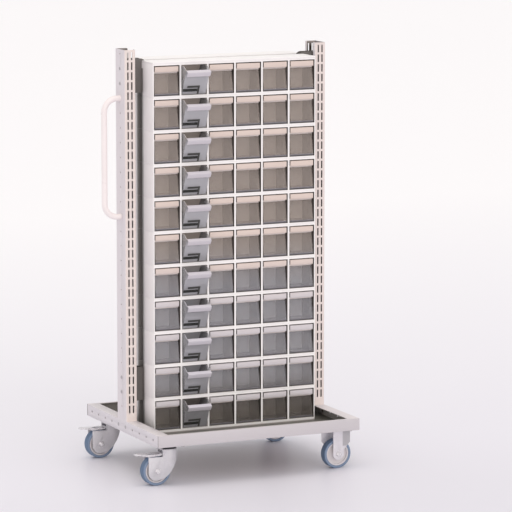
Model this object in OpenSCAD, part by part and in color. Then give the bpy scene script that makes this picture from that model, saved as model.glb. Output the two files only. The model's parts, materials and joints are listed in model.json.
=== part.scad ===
// Double-sided trolley with banks of tilt-out bins between two slotted posts on a wheeled base.
// Millimetres, +Z up, front bank faces -Y, handle and braked casters on the -X side.
// The origin is on the floor, under the middle of the whole trolley's box.

/* [Base frame] */
// Length of the base frame along X
base_l = 745; // [700:1:900]
// Depth of the base frame along Y
base_d = 630; // [520:1:800]
// Height of the base rails
rail_h = 40; // [34:1:60]
// Sheet thickness of the rails and posts
sheet = 2.5; // [1.5:0.1:3.5]
// Width of the side rails' top and bottom flanges
side_flange = 40; // [32:1:50]
// Width of the end rails' top flange
end_flange = 12; // [6:1:30]
// Width of the end rails' bottom flange
end_bottom = 28; // [20:1:30]
// Number of holes in each side rail
rail_holes = 10; // [4:2:10]
// Distance between the side rail holes
rail_pitch = 60; // [48:1:60]
// Diameter of the side rail holes
rail_hole_d = 8; // [5:0.1:10]
// Thickness of the floor pan
pan_t = 1.5; // [1:0.1:3]

/* [Posts] */
// Height of the posts above the rails
post_h = 1262; // [1240:1:1400]
// Width of the posts along X
post_w = 40; // [34:1:50]
// Depth of the posts along Y
post_d = 80; // [70:1:100]
// Width of the lips that turn in on the open side
post_lip = 14; // [8:1:18]
// Outer bend radius of the posts
post_bend = 4; // [3.6:0.1:6]
// Number of holes in each post's web
web_holes = 25; // [25:1:26]
// Distance between the web holes
web_pitch = 50; // [40:1:50]
// Height of the lowest web hole above the rails
web_first = 47.5; // [40:0.5:55]
// Diameter of the web holes
web_hole_d = 5.5; // [5.2:0.1:7]
// Diameter of the small holes in the post lips
lip_hole_d = 4; // [2:0.1:5]
// Number of slots in each column of a post flange
slots = 37; // [10:1:37]
// Length of a slot
slot_l = 26; // [15:0.5:29]
// Width of a slot
slot_w = 5; // [3:0.1:7]
// Height of the lowest slot's middle above the rails
slot_first = 41; // [30:1:50]
// Distance from a post's outer face to its outer slot column
slot_out = 12.5; // [9:0.1:15]
// Distance between the two slot columns
slot_cols = 14; // [10:0.1:16]

/* [Banks of bins] */
// Number of rows of bins
rows = 11; // [11:1:11]
// Number of bins in a row
cols = 6; // [6:1:6]
// Column whose front bins stand open, counted from the left
open_col = 2; // [1:1:6]
// Width of a bank
bank_w = 600; // [540:1:640]
// Depth of a housing
housing_d = 96; // [94:1:110]
// Height of one row
row_pitch = 113.5; // [113:0.1:114]
// Thickness of a housing's top and bottom walls
shelf_t = 5.5; // [4:0.1:6]
// Thickness of the walls between the bins
divider_t = 6.5; // [5:0.1:8]
// Thickness of a housing's back wall
back_t = 2; // [1.5:0.1:4]
// Height of the strips above and below each bank
strip_h = 5.5; // [3:0.1:10]
// Width of the groove along the strips
strip_groove = 6; // [2:0.5:12]

/* [Bins] */
// Wall thickness of a bin
bin_wall = 2; // [1.2:0.1:3]
// Depth of a bin
bin_d = 87; // [80:0.5:88]
// Height of a bin's back wall
bin_back_h = 66; // [50:1:68]
// Free height above a closed bin's sides
bin_top_gap = 5.7; // [5:0.1:12]
// How far the full height runs back from the neck
bin_shoulder = 26; // [15:1:28]
// Free width on each side of a bin
side_gap = 3; // [1.5:0.1:4]
// Height of the grip lip
lip_h = 18; // [10:0.5:24]
// How far the neck under the lip lies behind the lip
lip_reach = 11.5; // [6:0.5:14]
// Amount by which the lip is narrower than the bin, on each side
lip_inset = 1; // [0:0.1:3]
// Distance of the pivot behind the housing's front
pivot_y = 10; // [10:0.1:12]
// Height of the pivot above the cell's floor
pivot_z = 10; // [10:0.1:12]
// Radius of the rounded foot about the pivot
foot_r = 9.4; // [8:0.1:9.7]
// Radius of a pivot stub
stub_r = 2; // [1.5:0.1:2.5]
// Depth to which a stub enters the wall beside it
stub_in = 1.5; // [1:0.1:2]
// Angle to which a bin tilts out
tilt = 33; // [15:1:34]

/* [Brackets and feet] */
// Width of the channel brackets between the banks
bracket_w = 32; // [24:0.5:40]
// Height of the channel brackets
bracket_h = 115; // [90:1:130]
// Sheet thickness of the brackets
bracket_t = 2; // [1.5:0.1:3]
// Length by which the brackets reach in behind the bins
bracket_lap = 15.5; // [12:0.5:30]
// Corner radius at the brackets' free ends
bracket_r = 20; // [5:1:25]
// Thickness of the foot plates inside the posts
foot_t = 4; // [3:0.1:6]
// Height of the foot plates above the rails
foot_h = 175; // [165:1:220]

/* [Handle] */
// Diameter of the handle bar
handle_d = 20; // [16:0.5:30]
// Distance of the bar's middle from the post
handle_out = 58; // [50:1:90]
// Bend radius at the middle of the bar
handle_r = 45; // [30:1:49]
// Web hole that takes the lower end, counted from below
handle_low = 14; // [10:1:14]
// Number of web pitches between the handle's ends
handle_span = 8; // [4:1:10]

/* [Casters] */
// Wheel radius
wheel_r = 50; // [45:0.5:50]
// Tyre width
tyre_w = 32; // [24:0.5:32]
// Radius of the wheel's rim under the tyre
rim_r = 41; // [32:0.5:42]
// Rounding of the tyre's edges
tyre_round = 3.5; // [2:0.5:5]
// Height of a whole caster
caster_h = 138; // [136:0.5:150]
// Distance of the swivel axes from the base's left side
swivel_x = 65; // [58:0.5:80]
// Distance of the fixed axles from the base's right side
fixed_x = 57; // [54:0.5:80]
// Distance of all casters from the base's front and rear
caster_y = 67; // [48:0.5:80]
// Trail of the swivel casters
trail = 48; // [35:0.5:50]
// Radius of the swivel head
head_r = 28; // [26:0.5:31]
// Free height between the top plate and the swivel head
head_drop = 13; // [8:0.5:16]
// Sheet thickness of the forks and plates
fork_t = 3; // [2:0.1:4]
// Free width between the fork's sides
fork_in = 40; // [38:0.5:44]
// Radius of the axles
axle_r = 4; // [3:0.1:5]
// Radius of the king pins
king_r = 6; // [5:0.1:8]
// Length of the brake pedals behind the swivel axis
pedal_l = 121; // [110:1:135]
// Travel of the brake pedals, in degrees
pedal_travel = 7; // [3:1:7]

/* [Hidden] */
$fn = 64;

// clearances
face_gap = 0.2;
part_gap = 0.3;
run_gap = 0.05;
bite = 1;

// fasteners: web bolts, rail screws, bank screws and caster bolts
web_bolt_r = 2.5;
web_head_r = 6;
web_head_h = 2.5;
rail_screw_r = rail_hole_d / 2 - part_gap;
rail_head_r = rail_screw_r + 2.3;
rail_head_h = 1;
bank_screw_r = 2;
bank_head_r = 3.5;
bank_head_h = 2.4;
bank_screw_reach = 1.6;
caster_bolt_r = 4;
caster_head_r = 7;
caster_head_h = 4.5;
caster_nut_r = 7.5;
caster_nut_h = 6;
hole_gap = 0.25;

// base frame
base_x = (handle_out + handle_d / 2 - web_head_h) / 2;
rail_z = caster_h;
deck_z = rail_z + rail_h;
pan_z = rail_z + sheet;
pan_top = pan_z + pan_t;
pan_gap = 1;
rail_len = base_d - 2 * sheet - 2 * face_gap;
end_flange_len = base_l - 2 * side_flange - 2 * face_gap;
corner_x = 128;
corner_y = 115;

// posts
slot_pitch = web_pitch * 2 / 3;
post_x = base_l / 2;
web_top = web_first + (web_holes - 1) * web_pitch;
top_bracket_z = deck_z + web_top - 1.5 * web_pitch;
low_bracket_z = deck_z + web_first + 1.5 * web_pitch;
foot_w = post_d - 2 * sheet - 4;
foot_z = pan_top + face_gap;

// banks
bank_gap = bracket_w + 2 * face_gap;
bank_front = bank_gap / 2 + housing_d;
bank_z = pan_top;
housing_h = row_pitch - part_gap;
rows_z = bank_z + strip_h;
cell_pitch = bank_w / cols;
cell_w = cell_pitch - divider_t;
cell_h = housing_h - 2 * shelf_t;
cell_d = housing_d - back_t;
side_space = (base_l - bank_w) / 2;
pocket = 2 * stub_r + 0.4;
pocket_in = stub_in + 0.4;
bank_screw_x = base_l / 2 - side_space - bracket_lap / 2;
bank_screw_z = bracket_h / 2 - 27.5;

// bins
bin_w = cell_w - 2 * side_gap;
bin_back = pivot_y - foot_r + bin_d;
neck_y = lip_reach + 0.5;
shoulder_y = neck_y + bin_shoulder;
bin_floor = pivot_z - foot_r;
bin_front_h = cell_h - bin_top_gap;
lip_top = bin_front_h + bin_wall;
lip_low = lip_top - lip_h;
neck_drop = 5;
neck_low = lip_low - neck_drop;
diagonal = foot_r * sqrt(0.5);

// casters
plate_l = 105;
plate_w = 85;
plate_t = 3;
plate_holes_x = 80;
plate_holes_y = 60;
plate_z = caster_h - plate_t;
race_r = head_r - 1.5;
crown_t = 4;
crown_z = plate_z - head_drop;
king_head_r = 10;
king_head_h = 4;
hub_boss_r = 13;
rim_t = 5;
hub_web_r = rim_r - rim_t;
hub_recess = 6;
tyre_gap = 0.1;
fork_out = fork_in / 2 + fork_t;
swivel_px = -base_l / 2 + swivel_x;
fixed_px = base_l / 2 - fixed_x;
caster_py = base_d / 2 - caster_y;
fork_back = 33;
fork_bend = 38;
fork_heel_r = 34;
fork_toe_r = 62;
fork_toe_x = -trail - 6;
fork_toe_z = wheel_r + 30.7;
fork_front_r = 203;
fork_front_x = -trail - 113.7;
fork_front_z = wheel_r + 123;
fork_knee = wheel_r - 1;
fork_shoulder = wheel_r + 48;
tail_x = -30;
pedal_px = -27;
pedal_pz = wheel_r + 54.5;
pedal_pin_r = 2.5;
pedal_hub_r = 4.5;
pedal_t = 3;
pedal_w = fork_in - 3;
pedal_tip_w = 26;
pedal_taper = 30;
pedal_z = pedal_pz - 1;
skirt_h = 6;
axle_head_r = 8.5;
axle_head_h = 5;
leg_w = 40;
wing_l = 26;
wing_turn = 9;

function row_z(row) = rows_z + (rows - row) * row_pitch;
function cell_x(col) = -bank_w / 2 + (col - 0.5) * cell_pitch;

module seat() {
    translate([base_x, 0, 0])
        children();
}

module both_sides() {
    for (side = [0, 1])
        mirror([side, 0, 0])
            children();
}

module front_and_rear() {
    for (end = [0, 1])
        mirror([0, end, 0])
            children();
}

// square with round corners, built so that its arcs stay true
module round_rect(x, y, r) {
    translate([-x / 2 + r, -y / 2])
        square([x - 2 * r, y]);
    translate([-x / 2, -y / 2 + r])
        square([x, y - 2 * r]);
    for (i = [-1, 1], j = [-1, 1])
        translate([i * (x / 2 - r), j * (y / 2 - r)])
            circle(r);
}

// a rod along X from x1 to x2
module rod_x(x1, x2, r) {
    translate([x1, 0, 0])
        rotate([0, 90, 0])
            cylinder(h = x2 - x1, r = r);
}

// a rod along Y from y1 to y2
module rod_y(y1, y2, r) {
    translate([0, y2, 0])
        rotate([90, 0, 0])
            cylinder(h = y2 - y1, r = r);
}

// places at the four bolts of the caster plate at the child's own origin
module plate_bolts() {
    for (i = [-1, 1], j = [-1, 1])
        translate([i * plate_holes_x / 2, j * plate_holes_y / 2, 0])
            children();
}

module at_casters() {
    for (x = [swivel_px, fixed_px], y = [-caster_py, caster_py])
        translate([x, y, 0])
            children();
}

module bolt_holes(z1, z2) {
    at_casters()
        plate_bolts()
            translate([0, 0, z1])
                cylinder(h = z2 - z1, r = caster_bolt_r + hole_gap);
}

module side_rail() {
    difference() {
        translate([-base_l / 2, rail_len / 2, rail_z])
            rotate([90, 0, 0])
                linear_extrude(rail_len)
                    difference() {
                        square([side_flange, rail_h]);
                        translate([sheet, sheet])
                            square([side_flange, rail_h - 2 * sheet]);
                    }
        for (i = [0 : rail_holes - 1])
            translate([0, (i - (rail_holes - 1) / 2) * rail_pitch, rail_z + rail_h / 2])
                rod_x(-base_l / 2 - bite, -base_l / 2 + sheet + bite, rail_hole_d / 2);
        // slot in the top flange that the foot plate passes through
        translate([-base_l / 2 + sheet, -foot_w / 2 - part_gap, deck_z - sheet - bite])
            cube([foot_t + part_gap, foot_w + 2 * part_gap, sheet + 2 * bite]);
    }
}

module end_rail() {
    translate([-base_l / 2, -base_d / 2, rail_z])
        cube([base_l, sheet, rail_h]);
    translate([-end_flange_len / 2, -base_d / 2, deck_z - sheet])
        cube([end_flange_len, end_flange, sheet]);
    translate([-end_flange_len / 2, -base_d / 2, rail_z])
        cube([end_flange_len, end_bottom, sheet]);
}

module corner_plate() {
    translate([-base_l / 2 + side_flange + face_gap, -base_d / 2 + end_bottom + face_gap, rail_z])
        cube([corner_x - side_flange, corner_y - end_bottom, sheet]);
}

module base_frame() {
    color("gainsboro")
        seat()
            difference() {
                union() {
                    both_sides()
                        side_rail();
                    front_and_rear()
                        end_rail();
                    both_sides()
                        front_and_rear()
                            corner_plate();
                }
                bolt_holes(rail_z - bite, pan_z + bite);
            }
}

module floor_pan() {
    pan_l = base_l - 2 * (sheet + pan_gap);
    pan_w = base_d - 2 * (sheet + pan_gap);
    color("dimgray")
        seat()
            difference() {
                translate([-pan_l / 2, -pan_w / 2, pan_z])
                    cube([pan_l, pan_w, pan_t]);
                bolt_holes(pan_z - bite, pan_top + bite);
            }
}

module post_profile() {
    difference() {
        round_rect(post_w, post_d, post_bend);
        round_rect(post_w - 2 * sheet, post_d - 2 * sheet, post_bend - sheet);
        translate([0, -post_d / 2 + post_lip])
            square([post_w, post_d - 2 * post_lip]);
    }
}

// the left post: web outwards, two slotted flanges, lips on the open side
module post() {
    difference() {
        translate([-post_x + post_w / 2, 0, deck_z])
            linear_extrude(post_h)
                post_profile();
        for (i = [0 : web_holes - 1])
            translate([0, 0, deck_z + web_first + i * web_pitch]) {
                rod_x(-post_x - bite, -post_x + sheet + bite, web_hole_d / 2);
                for (side = [-1, 1])
                    translate([0, side * (post_d - post_lip) / 2, 0])
                        rod_x(-post_x + post_w - sheet - bite, -post_x + post_w + bite, lip_hole_d / 2);
            }
        for (i = [0 : slots - 1], c = [0, 1])
            translate([-post_x + slot_out + c * slot_cols - slot_w / 2, -post_d / 2 - bite,
                       deck_z + slot_first + i * slot_pitch - slot_l / 2])
                cube([slot_w, post_d + 2 * bite, slot_l]);
    }
}

module left_post() {
    color("gainsboro")
        seat()
            post();
}

module right_post() {
    color("gainsboro")
        seat()
            mirror([1, 0, 0])
                post();
}

module post_foot() {
    difference() {
        translate([-post_x + sheet, -foot_w / 2, foot_z])
            cube([foot_t, foot_w, deck_z + foot_h - foot_z]);
        for (side = [-1, 1]) {
            translate([0, side * rail_pitch / 2, rail_z + rail_h / 2])
                rod_x(-post_x, -post_x + sheet + foot_t + bite, rail_screw_r + hole_gap);
            translate([0, 0, low_bracket_z + side * web_pitch / 2])
                rod_x(-post_x, -post_x + sheet + foot_t + bite, web_bolt_r + hole_gap);
        }
    }
}

module post_feet() {
    color("silver")
        seat()
            both_sides()
                post_foot();
}

// the outline of a bracket's side, seen from the front, from x1 at the post to x2 behind the bins
module bracket_side(x1, x2) {
    translate([x1, -bracket_h / 2])
        square([x2 - x1 - bracket_r, bracket_h]);
    translate([x1, -bracket_h / 2 + bracket_r])
        square([x2 - x1, bracket_h - 2 * bracket_r]);
    for (end = [-1, 1])
        translate([x2 - bracket_r, end * (bracket_h / 2 - bracket_r)])
            circle(bracket_r);
}

// a channel bracket on the left post: x1 is its seat, z its middle
module bracket(x1, z) {
    x2 = -base_l / 2 + side_space + bracket_lap;
    translate([0, 0, z])
        difference() {
            union() {
                translate([x1, -bracket_w / 2, -bracket_h / 2])
                    cube([bracket_t, bracket_w, bracket_h]);
                for (side = [0, 1])
                    mirror([0, side, 0])
                        translate([0, bracket_w / 2, 0])
                            rotate([90, 0, 0])
                                linear_extrude(bracket_t)
                                    bracket_side(x1, x2);
            }
            for (side = [-1, 1]) {
                translate([0, 0, side * web_pitch / 2])
                    rod_x(x1 - bite, x1 + bracket_t + bite, web_bolt_r + hole_gap);
                translate([-bank_screw_x, 0, side * bank_screw_z])
                    rod_y(-bracket_w, bracket_w, bank_screw_r + hole_gap);
            }
        }
}

module bank_brackets() {
    color("darkgray")
        seat()
            both_sides() {
                bracket(-post_x + sheet, top_bracket_z);
                bracket(-post_x + sheet + foot_t, low_bracket_z);
            }
}

// a quarter bend of the handle in the XZ plane, from an arm along X to the upright bar
module handle_bend() {
    rotate([90, 0, 0])
        rotate_extrude(angle = 90)
            translate([handle_r, 0])
                circle(d = handle_d);
}

module push_handle() {
    low = deck_z + web_first + (handle_low - 1) * web_pitch;
    high = low + handle_span * web_pitch;
    grip_x = -post_x - handle_out;
    thread = 20;
    color("mistyrose")
        seat()
            difference() {
                union() {
                    translate([grip_x, 0, low + handle_r])
                        cylinder(h = high - low - 2 * handle_r, d = handle_d);
                    for (z = [low, high])
                        translate([0, 0, z])
                            rod_x(grip_x + handle_r, -post_x, handle_d / 2);
                    translate([grip_x + handle_r, 0, high - handle_r])
                        mirror([1, 0, 0])
                            handle_bend();
                    translate([grip_x + handle_r, 0, low + handle_r])
                        mirror([1, 0, 0])
                            mirror([0, 0, 1])
                                handle_bend();
                }
                for (z = [low, high])
                    translate([0, 0, z])
                        rod_x(-post_x - thread, -post_x + bite, web_bolt_r + hole_gap);
            }
}

// a bolt along X: its domed head outside at x, its shank reaching inwards to x2
module side_bolt(x, x2, r, head_r, head_h) {
    translate([x - head_h, 0, 0])
        rotate([0, 90, 0])
            cylinder(h = head_h, r1 = head_r * 0.7, r2 = head_r);
    rod_x(x - bite, x2, r);
}

module post_bolts() {
    for (side = [-1, 1]) {
        translate([0, 0, top_bracket_z + side * web_pitch / 2])
            side_bolt(-post_x, -post_x + sheet + bracket_t + 3, web_bolt_r, web_head_r, web_head_h);
        translate([0, 0, low_bracket_z + side * web_pitch / 2])
            side_bolt(-post_x, -post_x + sheet + foot_t + bracket_t + 3, web_bolt_r, web_head_r, web_head_h);
        translate([0, side * rail_pitch / 2, rail_z + rail_h / 2])
            side_bolt(-post_x, -post_x + sheet + foot_t + 2, rail_screw_r, rail_head_r, rail_head_h);
    }
}

module handle_bolts() {
    for (i = [handle_low - 1, handle_low - 1 + handle_span])
        translate([0, 0, deck_z + web_first + i * web_pitch]) {
            rod_x(-post_x - 15, -post_x + sheet + bite, web_bolt_r);
            rod_x(-post_x + sheet, -post_x + sheet + web_head_h, web_head_r);
        }
}

// screws from inside a bracket into the backs of both banks
module bank_screws() {
    for (z = [top_bracket_z, low_bracket_z], side = [-1, 1], end = [0, 1])
        mirror([0, end, 0])
            translate([-bank_screw_x, 0, z + side * bank_screw_z]) {
                rod_y(bracket_w / 2 - bracket_t - bank_head_h, bracket_w / 2 - bracket_t, bank_head_r);
                rod_y(bracket_w / 2 - bracket_t - bite, bank_gap / 2 + back_t + bank_screw_reach, bank_screw_r);
            }
}

module caster_bolts() {
    at_casters()
        plate_bolts() {
            translate([0, 0, plate_z - caster_nut_h - bite])
                cylinder(h = pan_top - plate_z + caster_nut_h + 2 * bite, r = caster_bolt_r);
            translate([0, 0, pan_top])
                cylinder(h = caster_head_h, r1 = caster_head_r, r2 = caster_head_r * 0.7);
            difference() {
                translate([0, 0, plate_z - caster_nut_h])
                    cylinder(h = caster_nut_h, r = caster_nut_r, $fn = 6);
                translate([0, 0, plate_z - caster_nut_h - bite])
                    cylinder(h = caster_nut_h + 2 * bite, r = caster_bolt_r + run_gap);
            }
        }
}

module fasteners() {
    color("silver")
        seat() {
            both_sides() {
                post_bolts();
                bank_screws();
            }
            handle_bolts();
            caster_bolts();
        }
}

// one housing of six cells: front at y = 0, bottom at z = 0
module housing(screwed) {
    difference() {
        translate([-bank_w / 2, 0, 0])
            cube([bank_w, housing_d, housing_h]);
        for (col = [1 : cols])
            translate([cell_x(col), 0, shelf_t]) {
                translate([-cell_w / 2, -bite, 0])
                    cube([cell_w, cell_d + bite, cell_h]);
                translate([-cell_w / 2 - pocket_in, pivot_y - pocket / 2, pivot_z - pocket / 2])
                    cube([cell_w + 2 * pocket_in, pocket, pocket]);
            }
        if (screwed)
            for (x = [-bank_screw_x, bank_screw_x], z = screwed)
                translate([x, 0, z])
                    rod_y(cell_d - bite, housing_d + bite, bank_screw_r + hole_gap);
    }
}

module strip(z) {
    translate([-bank_w / 2, 0, z])
        difference() {
            cube([bank_w, housing_d, strip_h - face_gap]);
            translate([-bite, housing_d / 2 - strip_groove / 2, strip_h - face_gap - 1])
                cube([bank_w + 2 * bite, strip_groove, 2]);
        }
}

// heights of the screws that land in this row, or nothing
function screws_in(row) = [
    for (z = [top_bracket_z, low_bracket_z], side = [-1, 1])
        let (h = z + side * bank_screw_z - row_z(row))
            if (h > shelf_t && h < housing_h - shelf_t) h
];

module bank() {
    translate([0, -bank_front, 0]) {
        for (row = [1 : rows])
            translate([0, 0, row_z(row)])
                housing(screws_in(row));
        strip(bank_z);
        strip(rows_z + rows * row_pitch);
    }
}

module front_bank() {
    color("whitesmoke")
        seat()
            bank();
}

module rear_bank() {
    color("whitesmoke")
        seat()
            rotate([0, 0, 180])
                bank();
}

// side outline of a bin: y runs back from the housing's front, z up from the cell's floor
module bin_outline() {
    polygon([
        [pivot_y, bin_floor],
        [bin_back, bin_floor],
        [bin_back, bin_back_h],
        [shoulder_y, bin_front_h],
        [neck_y, bin_front_h],
        [neck_y, neck_low],
        [pivot_y - foot_r, pivot_z],
        [pivot_y - diagonal, pivot_z - diagonal]
    ]);
}

module bin_hollow() {
    polygon([
        [pivot_y + bin_wall / 2, bin_floor + bin_wall],
        [bin_back - bin_wall, bin_floor + bin_wall],
        [bin_back - bin_wall, lip_top + bite],
        [neck_y + bin_wall, lip_top + bite],
        [neck_y + bin_wall, neck_low],
        [pivot_y - foot_r + bin_wall, pivot_z + bite],
        [pivot_y - diagonal + bin_wall, pivot_z - diagonal + bin_wall / 2]
    ]);
}

module lip_outline() {
    front = neck_y - lip_reach;
    polygon([
        [front, lip_low],
        [front + bin_wall, lip_low],
        [front + bin_wall, bin_front_h],
        [neck_y, bin_front_h],
        [neck_y, bin_front_h - bite],
        [neck_y + bin_wall, bin_front_h - bite],
        [neck_y + bin_wall, lip_top],
        [front, lip_top]
    ]);
}

// extrudes a side outline to a width along X, centred
module across(width) {
    rotate([90, 0, 90])
        translate([0, 0, -width / 2])
            linear_extrude(width)
                children();
}

module bin() {
    difference() {
        across(bin_w)
            bin_outline();
        across(bin_w - 2 * bin_wall)
            bin_hollow();
    }
    across(bin_w - 2 * lip_inset)
        lip_outline();
    for (side = [0, 1])
        mirror([side, 0, 0])
            translate([bin_w / 2 - bite, pivot_y, pivot_z])
                rotate([0, 90, 0])
                    cylinder(h = bite + side_gap + stub_in, r = stub_r, $fn = 8);
}

module bins(row, columns) {
    for (col = columns)
        translate([cell_x(col), -bank_front, row_z(row) + shelf_t])
            bin();
}

module open_bin(row) {
    color([0.62, 0.6, 0.6])
        seat()
            translate([cell_x(open_col), -bank_front + pivot_y, row_z(row) + shelf_t + pivot_z])
                rotate([tilt, 0, 0])
                    translate([0, -pivot_y, -pivot_z])
                        bin();
}

module front_bins(row) {
    color([0.58, 0.54, 0.51])
        seat()
            bins(row, [for (col = [1 : cols]) if (col != open_col) col]);
}

module rear_bins(row) {
    color([0.58, 0.54, 0.51])
        seat()
            rotate([0, 0, 180])
                bins(row, [1 : cols]);
}

module caster_plate() {
    difference() {
        translate([-plate_l / 2, -plate_w / 2, plate_z])
            cube([plate_l, plate_w, plate_t]);
        plate_bolts()
            translate([0, 0, plate_z - bite])
                cylinder(h = plate_t + 2 * bite, r = caster_bolt_r + hole_gap);
    }
}

// top plate with its race, and the king pin with its head under the fork's crown
module swivel_plate() {
    caster_plate();
    translate([0, 0, crown_z + part_gap])
        cylinder(h = plate_z - crown_z - part_gap, r = race_r);
    translate([0, 0, crown_z - crown_t - part_gap - king_head_h])
        cylinder(h = plate_z - crown_z + crown_t + part_gap + king_head_h, r = king_r);
    translate([0, 0, crown_z - crown_t - part_gap - king_head_h])
        cylinder(h = king_head_h, r = king_head_r);
}

module swivel_plates() {
    color("silver")
        seat()
            front_and_rear()
                translate([swivel_px, -caster_py, 0])
                    swivel_plate();
}

// side outline of a swivel fork, x from the swivel axis, y for height
module fork_outline() {
    back = -trail - fork_back;
    difference() {
        union() {
            intersection() {
                translate([back, fork_knee])
                    square([head_r + bite - back, crown_z - fork_knee]);
                translate([fork_front_x, fork_front_z])
                    circle(fork_front_r, $fn = 256);
            }
            intersection() {
                translate([back, 0])
                    square([head_r - back, fork_knee + bite]);
                translate([fork_toe_x, fork_toe_z])
                    circle(fork_toe_r, $fn = 128);
            }
        }
        // the tail is lower than the head
        translate([back - bite, fork_shoulder])
            square([tail_x - back + bite, crown_z]);
        // behind the axle the side ends in a round heel
        difference() {
            translate([back - bite, 0])
                square([fork_back + bite, wheel_r]);
            translate([-trail, wheel_r])
                circle(fork_heel_r);
        }
    }
}

// a fork-shaped block: two parallel sides that widen into the round head
module fork_block(half, head, z1, z2) {
    corner = [-fork_bend, half];
    turn = atan2(corner.y, corner.x) - acos(head / norm(corner));
    touch = (head - fork_t / 5) * [cos(turn), sin(turn)];
    translate([0, 0, z1])
        cylinder(h = z2 - z1, r = head);
    translate([0, 0, z1])
        linear_extrude(z2 - z1)
            polygon([
                corner, touch, [touch.x, -touch.y], [-fork_bend, -half],
                [-trail - fork_back - bite, -half], [-trail - fork_back - bite, half]
            ]);
}

module swivel_fork() {
    difference() {
        intersection() {
            union()
                fork_block(fork_out, head_r, 0, crown_z);
            translate([0, head_r + bite, 0])
                rotate([90, 0, 0])
                    linear_extrude(2 * (head_r + bite))
                        fork_outline();
        }
        // the hollow between the sides, open at the back and below
        fork_block(fork_in / 2, head_r - fork_t, -bite, crown_z - crown_t);
        translate([-trail - 2 * fork_back, -fork_in / 2, -bite])
            cube([2 * fork_back, fork_in, crown_z + 2 * bite]);
        translate([0, 0, crown_z - crown_t - bite])
            cylinder(h = crown_t + 2 * bite, r = king_r + run_gap);
        translate([-trail, 0, wheel_r])
            rod_y(-2 * head_r, 2 * head_r, axle_r + run_gap);
        translate([pedal_px, 0, pedal_pz])
            rod_y(-2 * head_r, 2 * head_r, pedal_pin_r + run_gap);
    }
}

// the axle bolt of a swivel fork, and the pin that its brake pedal turns on
module swivel_axle() {
    translate([-trail, 0, wheel_r])
        axle();
    translate([pedal_px, 0, pedal_pz])
        rod_y(-fork_out, fork_out, pedal_pin_r);
}

module axle() {
    rod_y(-fork_out - axle_head_h, fork_out + axle_head_h, axle_r);
    for (side = [0, 1])
        mirror([0, side, 0])
            translate([0, fork_out, 0])
                rotate([-90, 0, 0])
                    cylinder(h = axle_head_h, r1 = axle_head_r, r2 = axle_head_r * 0.8);
}

// side outline of a brake pedal, x from the swivel axis, y for height
module pedal_outline() {
    polygon([
        [pedal_px, pedal_z],
        [-pedal_l + 25, pedal_z],
        [-pedal_l + 8, pedal_z + 3],
        [-pedal_l, pedal_z + 1],
        [-pedal_l, pedal_z + pedal_t],
        [-pedal_l + 8, pedal_z + 3 + pedal_t],
        [-pedal_l + 24, pedal_z + pedal_t],
        [pedal_px, pedal_z + pedal_t]
    ]);
}

module skirt_outline() {
    polygon([
        [pedal_px - 6, pedal_z + pedal_t],
        [-pedal_l + pedal_taper, pedal_z + pedal_t],
        [-pedal_l + pedal_taper, pedal_z - 1],
        [-pedal_l + pedal_taper + 12, pedal_z + pedal_t - skirt_h - 2],
        [pedal_px - 6, pedal_z + pedal_t - skirt_h]
    ]);
}

module brake_pedal() {
    difference() {
        union() {
            intersection() {
                translate([0, pedal_w / 2, 0])
                    rotate([90, 0, 0])
                        linear_extrude(pedal_w)
                            pedal_outline();
                // the tip is narrower than the rest
                translate([0, 0, pedal_z - pedal_w])
                    linear_extrude(2 * pedal_w)
                        polygon([
                            [0, -pedal_w / 2], [0, pedal_w / 2],
                            [-pedal_l + pedal_taper, pedal_w / 2], [-pedal_l - bite, pedal_tip_w / 2],
                            [-pedal_l - bite, -pedal_tip_w / 2], [-pedal_l + pedal_taper, -pedal_w / 2]
                        ]);
            }
            for (side = [0, 1])
                mirror([0, side, 0])
                    translate([0, pedal_w / 2, 0])
                        rotate([90, 0, 0])
                            linear_extrude(1.8)
                                skirt_outline();
            translate([pedal_px, 0, pedal_pz])
                rod_y(-pedal_w / 2, pedal_w / 2, pedal_hub_r);
        }
        translate([pedal_px, 0, pedal_pz])
            rod_y(-pedal_w, pedal_w, pedal_pin_r + run_gap);
        translate([-trail - 26, -7, pedal_z - bite])
            cube([24, 14, pedal_t + 2 * bite]);
    }
}

module fixed_leg() {
    difference() {
        union() {
            translate([-leg_w / 2, fork_in / 2, wheel_r])
                cube([leg_w, fork_t, plate_z - wheel_r]);
            translate([0, 0, wheel_r])
                rod_y(fork_in / 2, fork_out, leg_w / 2);
            // the wing is bent in a little from the leg's edge
            translate([leg_w / 2 - bite, fork_in / 2, 0])
                rotate([0, 0, -wing_turn])
                    translate([0, fork_t, 0])
                        rotate([90, 0, 0])
                            linear_extrude(fork_t)
                                polygon([[0, wheel_r + 14], [wing_l, wheel_r + 40], [wing_l, plate_z], [0, plate_z]]);
        }
        translate([0, 0, wheel_r])
            rod_y(0, 2 * fork_out, axle_r + run_gap);
    }
}

module fixed_fork() {
    caster_plate();
    fixed_leg();
    rotate([0, 0, 180])
        fixed_leg();
}

module fixed_forks() {
    color("gainsboro")
        seat()
            for (y = [-caster_py, caster_py])
                translate([fixed_px, y, 0])
                    mirror([0, 1, 0])
                        fixed_fork();
}

module fixed_axles() {
    color("silver")
        seat()
            for (y = [-caster_py, caster_py])
                translate([fixed_px, y, wheel_r])
                    axle();
}

module wheel_hub() {
    rotate([90, 0, 0])
        difference() {
            union() {
                cylinder(h = tyre_w - 4, r = rim_r, center = true);
                cylinder(h = fork_in - 2 * part_gap, r = hub_boss_r, center = true);
            }
            cylinder(h = fork_in + 2 * bite, r = axle_r + run_gap, center = true);
            for (side = [0, 1])
                mirror([0, 0, side])
                    translate([0, 0, tyre_w / 2 - 2 - hub_recess])
                        difference() {
                            cylinder(h = hub_recess + bite, r = hub_web_r);
                            translate([0, 0, -bite])
                                cylinder(h = hub_recess + 3 * bite, r = hub_boss_r);
                        }
        }
}

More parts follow.
